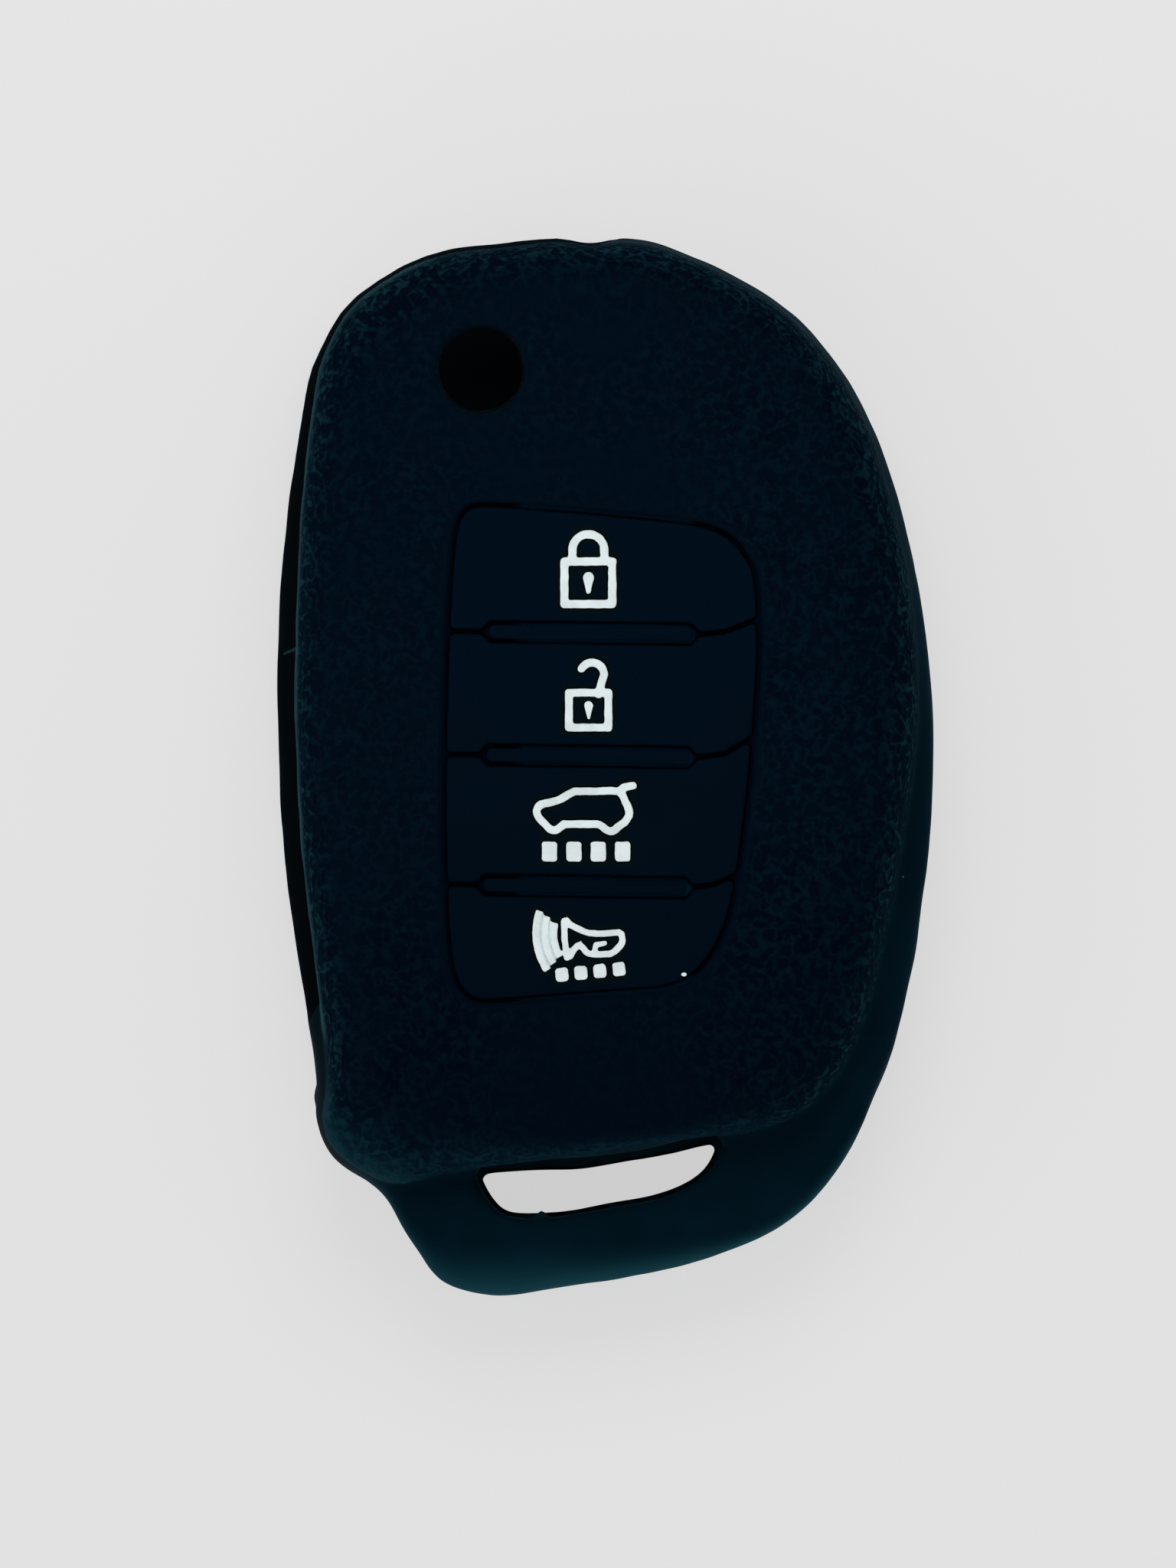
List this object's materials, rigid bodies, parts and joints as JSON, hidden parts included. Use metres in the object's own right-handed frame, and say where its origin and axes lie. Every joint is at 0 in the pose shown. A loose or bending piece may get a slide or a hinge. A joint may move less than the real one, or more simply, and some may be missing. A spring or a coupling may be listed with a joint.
{
  "type": "key fob cover",
  "caption": "Soft silicone sleeve for a folding car key, with press pads, a side slot for the blade, a round hole for the flip button and a key-ring slot.",
  "frame": {"origin": "middle of the cover's outline, on the plane of its back", "axes": "+X to the right and +Y to the top of the cover as the picture shows it, away from the key-ring tail; +Z out of the face with the pads"},
  "size_m": [0.051, 0.082, 0.0191],
  "materials": {
    "cover_silicone": "satin moulded silicone with a fine pebble grain on the face",
    "pad_silicone": "smooth matte silicone",
    "white_inlay": "matte white silicone inlay"
  },
  "bodies": {
    "cover": {"sleeve": "cover_silicone", "keypad_web": "cover_silicone", "divider_bar_upper": "pad_silicone", "divider_bar_middle": "pad_silicone", "divider_bar_lower": "pad_silicone"},
    "lock_pad": {"lock_button": "pad_silicone", "lock_symbol": "white_inlay"},
    "unlock_pad": {"unlock_button": "pad_silicone", "unlock_symbol": "white_inlay"},
    "tailgate_pad": {"tailgate_button": "pad_silicone", "tailgate_symbol": "white_inlay", "tailgate_hold_mark": "white_inlay"},
    "horn_pad": {"horn_button": "pad_silicone", "horn_symbol": "white_inlay", "horn_hold_mark": "white_inlay"}
  },
  "joints": [
    {"name": "lock_press", "type": "slide", "parent": "cover", "child": "lock_pad", "axis": [0, 0, -1], "range_m": [0, 0.0008], "stiffness_N_per_m": 800},
    {"name": "unlock_press", "type": "slide", "parent": "cover", "child": "unlock_pad", "axis": [0, 0, -1], "range_m": [0, 0.0008], "stiffness_N_per_m": 800},
    {"name": "tailgate_press", "type": "slide", "parent": "cover", "child": "tailgate_pad", "axis": [0, 0, -1], "range_m": [0, 0.0008], "stiffness_N_per_m": 800},
    {"name": "horn_press", "type": "slide", "parent": "cover", "child": "horn_pad", "axis": [0, 0, -1], "range_m": [0, 0.0008], "stiffness_N_per_m": 800}
  ]
}
